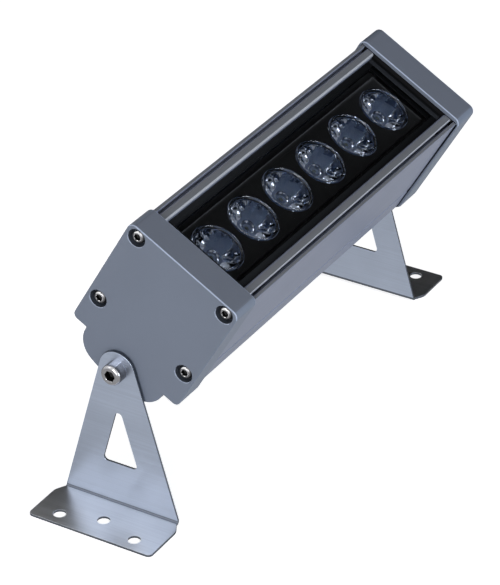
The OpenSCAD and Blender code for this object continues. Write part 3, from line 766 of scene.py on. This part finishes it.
class WASHER_OT_housing(bpy.types.Operator):
    """Make the extruded housing with its rounded edges"""

    bl_idname = "washer.housing"
    bl_label = "Housing"

    def execute(self, context):
        drawn = {"stretch": (1, 0.01, 1), "grain": 0.00001}
        finish = coat("housing_coat", colours().housing, roughness=0.42, **drawn)
        piece = merged_copy("housing", "housing_extrusion")
        rounded(piece, sizes().housing_round, 3, self.edge_share)
        put_on(piece, finish, "lamp", "housing", "housing")
        # The lips' faces get a darker copy of the coat (painted shade), and their rounded edges that face right a
        # lighter one (painted highlight)
        lips = [
            coat(name, toned(colours().lips, times), roughness=0.40, gloss=0.4, **drawn)
            for name, times in (("lip_painted_shade", 1), ("lip_edge_painted_highlight", 2.6))
        ]
        share_out(piece, lips, self.finish_index, TO_LAMP)
        return {"FINISHED"}

    @staticmethod
    def edge_share(edge):
        """The edges along the lips' slots are rounded more than the others."""
        ends = [TO_LAMP @ vert.co for vert in edge.verts]
        along_slot = all(abs(abs(end.x) - SLOT_EDGE) < CLOSE and abs(end.z - FRONT) < CLOSE for end in ends)
        return sizes().lip_round / sizes().housing_round if along_slot else 1.0

    @staticmethod
    def finish_index(middle, facing):
        """1 on the lips' faces, a darker copy of the coat as painted shade, 2 on those of their rounded edges that
        face right, a painted highlight, and 0 elsewhere.
        """
        if middle.z < FRONT - LIP_DEPTH:
            return 0
        if facing.z > EDGE_MOST:
            return 1
        return 2 if abs(middle.x) < SLOT_EDGE + CLOSE / 2 and on_edge(facing.x) else 0


class WASHER_OT_end_caps(bpy.types.Operator):
    """Make the two cast end caps with rounded edges, and their gaskets"""

    bl_idname = "washer.end_caps"
    bl_label = "End caps"

    def execute(self, context):
        caps = colours().caps
        finish = coat("cap_powder_coat", caps)
        others = (
            # Darker copies of the coat in the counterbores and on the fronts are painted shade, and the lighter one
            # on outward edges is a painted highlight
            coat("counterbore_painted_shade", toned(caps, 0.35), roughness=0.6, grain=0.000015, gloss=0.1),
            coat("cap_edge_painted_highlight", toned(caps, 2.2), roughness=0.4, grain=0.000015, gloss=0.4),
            coat("cap_front_painted_shade", colours().cap_front_shade),
        )
        rubber = moulded("gasket_rubber", colours().rubber, 0.7)
        for name in SIDE_NAMES.values():
            piece = merged_copy(name + "_end_cap", name + "_end_casting")
            rounded(piece, sizes().cap_round, 3, self.edge_share)
            put_on(piece, finish, "lamp", "cap_paint", name + "_end_cap")
            share_out(piece, others, self.finish_index, TO_LAMP)
            paint(name + "_cap_gasket", rubber)
        return {"FINISHED"}

    @staticmethod
    def edge_share(edge):
        """The edges round the counterbores are rounded less, and least towards the front."""
        middle = TO_LAMP @ ((edge.verts[0].co + edge.verts[1].co) / 2)
        reach, level = min((math.dist((middle.x, middle.z), channel), channel[1]) for channel in CHANNELS)
        if reach > COUNTERBORE_RADIUS + CLOSE / 2:
            return 1.0
        towards_front = (middle.z - level) / COUNTERBORE_RADIUS
        return (2 - towards_front) * sizes().rim_round / sizes().cap_round

    @staticmethod
    def finish_index(middle, facing):
        """1 in the counterbores, a darker coat as painted shade; 2 on edges that face outwards, a lighter coat as
        painted highlight; 3 on the front, a darker coat as painted shade; and 0 elsewhere.
        """
        reach = min(math.dist((middle.x, middle.z), channel) for channel in CHANNELS)
        if reach < COUNTERBORE_RADIUS and abs(middle.y) < CAP_FACE - CLOSE:
            return 1
        if on_edge(abs(facing.y), CAP_EDGE_LEAST) and facing.z > EDGE_LIGHT:
            return 2
        return 3 if facing.z > EDGE_MOST else 0


class WASHER_OT_window(bpy.types.Operator):
    """Make the front glass and finish its seal"""

    bl_idname = "washer.window"
    bl_label = "Front glass"

    def execute(self, context):
        piece = rounded(merged_copy("front_glass", "front_pane"), sizes().glass_round, 1)
        put_on(piece, clear_glass("toughened_glass", colours().border), "lamp", "front_glass", "front_glass")
        piece.visible_shadow = False
        ground = moulded("ground_edge", colours().ground_glass, 0.5)
        share_out(piece, [ground], lambda middle, facing: int(on_edge(abs(facing.y))))
        paint("glass_seal", moulded("seal_silicone", colours().rubber, 0.6))
        return {"FINISHED"}


class WASHER_OT_tray(bpy.types.Operator):
    """Make the black lens tray with its raised strip"""

    bl_idname = "washer.tray"
    bl_label = "Lens tray"

    def execute(self, context):
        tray = colours().tray
        piece = rounded(merged_copy("lens_tray", "lens_tray_moulding"), sizes().tray_round)
        put_on(piece, tray_plastic("tray_plastic", tray), "lamp", "black_plastic", "lens_tray")
        others = (
            # The strip's left and far edges get a much lighter black: a painted highlight
            moulded("tray_strip_edge_highlight", toned(tray, 16), 0.35, gloss=0.3),
            moulded("tray_socket_wall", colours().wells, 0.4),
        )
        share_out(piece, others, self.finish_index, TO_LAMP)
        return {"FINISHED"}

    @staticmethod
    def finish_index(middle, facing):
        """1 on the strip's left and far edges, a painted highlight, 2 on the walls round the lenses and 0 elsewhere.
        """
        reach = sizes().tray_round
        on_side = abs(middle.x + STRIP_EDGE) < reach and on_edge(-facing.x)
        on_end = abs(middle.y - STRIP_END) < reach and on_edge(facing.y)
        if abs(middle.z - STRIP_FACE) < reach and (on_side or on_end):
            return 1
        from_lens = min(math.hypot(middle.x, middle.y - place) for place in LENS_PLACES)
        return 2 if abs(facing.z) < 0.5 and from_lens < LENS_WELL else 0


class WASHER_OT_lenses(bpy.types.Operator):
    """Make the six collimator lenses by geometry nodes"""

    bl_idname = "washer.lenses"
    bl_label = "Lenses"

    def execute(self, context):
        finish = clear_acrylic("lens_acrylic", colours().lens)
        shape = turned(lens_profile(), sizes().turned_steps, sharp=10)
        row = {"gap_along": LENS_PITCH, "count_along": LENS_COUNT, "centre": (0, 0, LENS_BASE)}
        piece = repeated("collimator_lenses", shape, finish, **row)
        put_on(piece, finish, "lamp", "clear_acrylic", *["lens_%d" % (i + 1) for i in range(LENS_COUNT)])
        return {"FINISHED"}


class WASHER_OT_light_board(bpy.types.Operator):
    """Make the emitters and the light board's screws, and finish the board and its pad"""

    bl_idname = "washer.light_board"
    bl_label = "Light board"

    def execute(self, context):
        finish = phosphor("emitter_ceramic")
        shape = turned(emitter_profile(), sizes().small_steps)
        row = {"gap_along": LENS_PITCH, "count_along": LENS_COUNT, "centre": (0, 0, BOARD_FACE)}
        piece = repeated("emitters", shape, finish, **row)
        put_on(piece, finish, "lamp", "emitter", *["led_%d" % (i + 1) for i in range(LENS_COUNT)])
        finish = bright_metal("zinc_screws", colours().zinc, 0.3)
        piece = repeated(
            "board_screws",
            turned(board_screw_profile(), steps=36),
            finish,
            gap_across=2 * BOARD_SCREW_ACROSS,
            gap_along=2 * LENS_PITCH,
            count_across=2,
            count_along=3,
            centre=(0, 0, BOARD_FACE),
        )
        put_on(piece, finish, "lamp", "stainless_fasteners", "light_board_screws")
        paint("light_board", speckled("white_mask", (0.72, 0.73, 0.72), (0.78, 0.79, 0.78), 900.0, 0.4))
        paint("thermal_pad", speckled("pad_grey", (0.24, 0.28, 0.34), (0.30, 0.34, 0.42), 1500.0, 0.7))
        return {"FINISHED"}


class WASHER_OT_driver(bpy.types.Operator):
    """Finish the driver board and the pieces on it"""

    bl_idname = "washer.driver"
    bl_label = "Driver"

    # Each node's finish: its name, two tones, the fineness of its pattern and its roughness
    FINISHES = {
        "driver_board": ("green_mask", (0.010, 0.085, 0.035), (0.016, 0.12, 0.05), 700.0, 0.35),
        "transformer": ("winding_tape", (0.50, 0.30, 0.02), (0.62, 0.40, 0.04), 300.0, 0.5),
        "capacitors": ("capacitor_sleeve", (0.010, 0.014, 0.08), (0.02, 0.025, 0.12), 250.0, 0.35),
        "choke": ("choke_winding", (0.20, 0.06, 0.015), (0.32, 0.10, 0.03), 1400.0, 0.4),
        "terminal_block": ("terminal_green", (0.03, 0.17, 0.06), (0.05, 0.22, 0.09), 1600.0, 0.5),
        "driver_chips": ("chip_resin", (0.008, 0.008, 0.009), (0.014, 0.014, 0.015), 2200.0, 0.5),
        "led_leads": ("lead_red", (0.35, 0.012, 0.01), (0.45, 0.02, 0.015), 800.0, 0.45),
    }

    def execute(self, context):
        for node, finish in self.FINISHES.items():
            paint(node, speckled(*finish))
        return {"FINISHED"}


class WASHER_OT_cap_screws(bpy.types.Operator):
    """Make the four socket head screws of each end cap by geometry nodes"""

    bl_idname = "washer.cap_screws"
    bl_label = "Cap screws"

    def execute(self, context):
        finish = bright_metal("cap_screw_steel", toned(colours().screws, 0.8), 0.36)
        seat = CAP_FACE - COUNTERBORE_DEPTH
        for side, name in SIDE_NAMES.items():
            piece = repeated(
                name + "_cap_screw_set",
                turned(screw_profile(**CAP_SCREW), sizes().small_steps),
                finish,
                gap_across=2 * CHANNEL_ACROSS,
                gap_along=FRONT_CHANNEL - REAR_CHANNEL,
                count_across=2,
                count_along=2,
                centre=(0, side * seat, (FRONT_CHANNEL + REAR_CHANNEL) / 2),
                plane_turn=(math.pi / 2, 0, 0),
                shape_turn=(-side * math.pi / 2, 0, 0),
            )
            put_on(piece, finish, "lamp", "stainless_fasteners", name + "_cap_screws")
            finish_heads(piece, CAP_SCREW, seat, CHANNELS, painted_highlight=3.3, lean=-0.15)
        return {"FINISHED"}


class WASHER_OT_pivots(bpy.types.Operator):
    """Make the two pivot screws and finish their friction washers"""

    bl_idname = "washer.pivots"
    bl_label = "Pivots"

    def execute(self, context):
        finish = bright_metal("pivot_screw_steel", toned(colours().screws, 1.6), 0.25)
        nylon = moulded("friction_nylon", colours().gland, 0.55)
        for side, name in SIDE_NAMES.items():
            mesh = turned(screw_profile(**PIVOT_SCREW), sizes().turned_steps)
            lying = Matrix.Rotation(-side * math.pi / 2, 4, "X")
            mesh.transform(LAMP @ Matrix.Translation((0, side * PIVOT_SEAT, 0)) @ lying)
            piece = new_piece(name + "_pivot_screw", mesh)
            put_on(piece, finish, "lamp", "stainless_fasteners", name + "_pivot_bolt")
            finish_heads(piece, PIVOT_SCREW, PIVOT_SEAT, [(0, 0)], painted_highlight=1.9, lean=0.1)
            paint(name + "_friction_washer", nylon)
        return {"FINISHED"}


class WASHER_OT_brackets(bpy.types.Operator):
    """Make the two bent sheet feet, brushed, with darker cut edges"""

    bl_idname = "washer.brackets"
    bl_label = "Brackets"

    def execute(self, context):
        steel = colours().steel
        shared = (
            brushed("cut_sheet_edge", colours().cut_steel, 0.45),
            # The bend gets a much darker copy of the steel: painted shade
            brushed("bend_painted_shade", toned(steel, 0.27), 0.45),
            # The feet get a lighter copy of the steel: painted light
            brushed("foot_sheet_painted_light", colours().foot_steel_painted_light),
        )
        for side, name in SIDE_NAMES.items():
            piece = merged_copy(name + "_bracket", name + "_bracket_sheet")
            # The left upright is painted darker towards its foot: painted shade
            upright = brushed(name + "_brushed_sheet", steel, painted_shade=0.45 if side == LEFT else 0.0)
            share_out(piece, (upright, *shared), self.finish_index)
            rounded(piece, sizes().sheet_round)
            put_on(piece, None, name + "_bracket", "brushed_stainless", name + "_bracket")
        return {"FINISHED"}

    @staticmethod
    def finish_index(middle, facing):
        """0 on the upright's broad faces, 1 on cut edges, 2 in the bend, painted darker as painted shade, and 3 on
        the foot's broad faces, painted lighter as painted light.
        """
        if abs(facing.x) > 0.05:
            return 1
        if middle.z > BEND_TOP:
            return 0 if abs(facing.y) > 0.9 else 1
        if abs(middle.y) > BEND_EDGE:
            return 3 if abs(facing.y) < 0.1 else 1
        return 2


class WASHER_OT_gland(bpy.types.Operator):
    """Make the cable gland's body and nut, and finish its ring and insert"""

    bl_idname = "washer.gland"
    bl_label = "Cable gland"

    def execute(self, context):
        nylon = moulded("gland_nylon", colours().gland, 0.5, gloss=0.3, grain=0.00003)
        for node in ("gland_body", "gland_nut"):
            piece = rounded(merged_copy(node, node + "_moulded"), sizes().gland_round)
            put_on(piece, nylon, "lamp", "gland_plastic", node)
        rubber = moulded("gland_rubber", toned(colours().rubber, 3), 0.7)
        for node in ("gland_insert", "gland_ring"):
            paint(node, rubber)
        return {"FINISHED"}


# Stage

AIM = (0, 0, 0.06)
FLOOR_HALF, FLOOR_LEVEL = 6, -0.0003
SEEN_PAPER, MIRRORED_PAPER = 0.75, 0.50  # how the floor glows to the camera and in mirrors

# Each lamp's place, width and height, power, colour and the rays that meet it
LAMPS = {
    "front_lamp": ((0.5, -1.9, 0.5), (1.2, 1.0), 23, (1, 1, 1), ("diffuse", "glossy")),
    "side_lamp": ((1.7, 0.2, 0.35), (1.0, 0.8), 18, (0.84, 0.92, 1.0), ("diffuse", "glossy")),
    "front_glint": ((0.31, -0.76, 0.92), (0.35, 0.35), 1.2, (1, 1, 1), ("glossy",)),
    "top_glint": ((-0.68, -0.71, 1.19), (0.5, 0.5), 1.5, (1, 1, 1), ("glossy",)),
    "right_spark": ((1.3, -0.9, 0.45), (0.20, 0.20), 5, (1, 1, 1), ("transmission",)),
    "left_spark": ((0.10, -1.15, 1.15), (0.24, 0.24), 9, (1, 1, 1), ("transmission",)),
    "back_spark": ((-0.25, 0.75, 1.1), (0.20, 0.20), 8, (1, 1, 1), ("transmission",)),
}

# Each upright card's left and right edge, place along the lamp and height
CARDS = {"back_card": (-0.31, 0.6, 0.35, 0.9), "foot_card": (-0.12, -0.03, -0.06, 0.08)}


class WASHER_OT_stage(bpy.types.Operator):
    """Set up the floor, the world, the lamps and the camera"""

    bl_idname = "washer.stage"
    bl_label = "Stage"

    def execute(self, context):
        scene = context.scene
        scene.view_settings.view_transform = "Standard"
        self.floor()
        self.world(scene)
        self.lamps()
        self.cards()
        self.camera(scene)
        return {"FINISHED"}

    def floor(self):
        """White paper, which mirrors show evenly lit and without the light's own shadows."""
        turns = ((-1, -1), (1, -1), (1, 1), (-1, 1))
        corners = [(FLOOR_HALF * across, FLOOR_HALF * along, FLOOR_LEVEL) for across, along in turns]
        mesh = bpy.data.meshes.new("floor")
        mesh.from_pydata(corners, [], [range(4)])
        finish = new_finish("floor_white")
        paper = finish.add("ShaderNodeBsdfDiffuse", None, {"Color": (0.8, 0.8, 0.8, 1)})
        lit = finish.add("ShaderNodeAddShader", None, {0: paper, 1: finish.glow(SEEN_PAPER * finish.ray("Camera"))})
        mirrored = finish.ray("Glossy") * (1 - finish.ray("Transmission"))
        shares = {0: mirrored, 1: lit, 2: finish.glow(MIRRORED_PAPER)}
        mesh.materials.append(finish.end(finish.add("ShaderNodeMixShader", None, shares)))
        new_piece("floor", mesh)

    def world(self, scene):
        """White room whose strength differs for plain light and for mirrored, transmitted and camera rays."""
        scene.world = bpy.data.worlds.new("studio")
        finish = Finish(scene.world)
        strength = 0.30
        for kind, share in (("Glossy", 0.95), ("Transmission", 0.44), ("Camera", 1.0)):
            strength = strength + (share - strength) * finish.ray(kind)
        finish.end(finish.add("ShaderNodeBackground", None, {"Color": WHITE, "Strength": strength}))

    def lamps(self):
        """Lamps for the whole light, glints that only mirrors show and sparks that only the lenses show."""
        for name, (place, size, power, colour, rays) in LAMPS.items():
            lamp = bpy.data.lights.new(name, "AREA")
            lamp.shape = "RECTANGLE"
            lamp.size, lamp.size_y = size
            lamp.energy = power
            lamp.color = colour
            body = new_piece(name, lamp)
            for ray in ("diffuse", "glossy", "transmission"):
                setattr(body, "visible_" + ray, ray in rays)
            body.location = place
            body.rotation_euler = (Vector(AIM) - Vector(place)).to_track_quat("-Z", "Y").to_euler()

    def cards(self):
        """Black cards that only mirrors show, as a photographer sets beside bright metal."""
        finish = new_finish("card_black")
        finish.end(finish.add("ShaderNodeBsdfDiffuse", None, {"Color": (0.004, 0.004, 0.004, 1)}))
        for name, (left, right, along, height) in CARDS.items():
            corners = [(left, along, 0), (right, along, 0), (right, along, height), (left, along, height)]
            mesh = bpy.data.meshes.new(name)
            mesh.from_pydata(corners, [], [range(4)])
            mesh.materials.append(finish.owner)
            card = new_piece(name, mesh)
            for ray in ("camera", "diffuse", "shadow", "transmission"):
                setattr(card, "visible_" + ray, False)

    def camera(self, scene):
        view = scene.washer_view
        data = bpy.data.cameras.new("camera")
        data.lens = view.lens
        data.sensor_width = 36
        data.clip_start, data.clip_end = 0.01, 50
        camera = new_piece("camera", data)
        camera.location = view.place
        camera.rotation_euler = view.turn
        scene.camera = camera


OPERATORS = (
    WASHER_OT_stage,
    WASHER_OT_housing,
    WASHER_OT_end_caps,
    WASHER_OT_window,
    WASHER_OT_tray,
    WASHER_OT_lenses,
    WASHER_OT_light_board,
    WASHER_OT_driver,
    WASHER_OT_cap_screws,
    WASHER_OT_pivots,
    WASHER_OT_brackets,
    WASHER_OT_gland,
)

GROUPS = {"washer_sizes": WasherSizes, "washer_colours": WasherColours, "washer_view": WasherView}


class WASHER_PT_panel(bpy.types.Panel):
    """Sidebar panel that lists the light's pieces, sizes and colours"""

    bl_idname = "WASHER_PT_panel"
    bl_label = "Wall washer light"
    bl_space_type = "VIEW_3D"
    bl_region_type = "UI"
    bl_category = "Wall washer"

    def draw(self, context):
        for group_name in GROUPS:
            group = getattr(context.scene, group_name)
            box = self.layout.box()
            for name in group.__annotations__:
                box.prop(group, name)
        for operator in OPERATORS:
            self.layout.operator(operator.bl_idname)


CLASSES = (*GROUPS.values(), *OPERATORS, WASHER_PT_panel)


def register():
    for item in CLASSES:
        bpy.utils.register_class(item)
    for name, group in GROUPS.items():
        setattr(bpy.types.Scene, name, PointerProperty(type=group))


def unregister():
    for name in GROUPS:
        delattr(bpy.types.Scene, name)
    for item in reversed(CLASSES):
        bpy.utils.unregister_class(item)


def main():
    register()
    for operator in OPERATORS:
        family, name = operator.bl_idname.split(".")
        getattr(getattr(bpy.ops, family), name)()


if __name__ == "__main__":
    main()
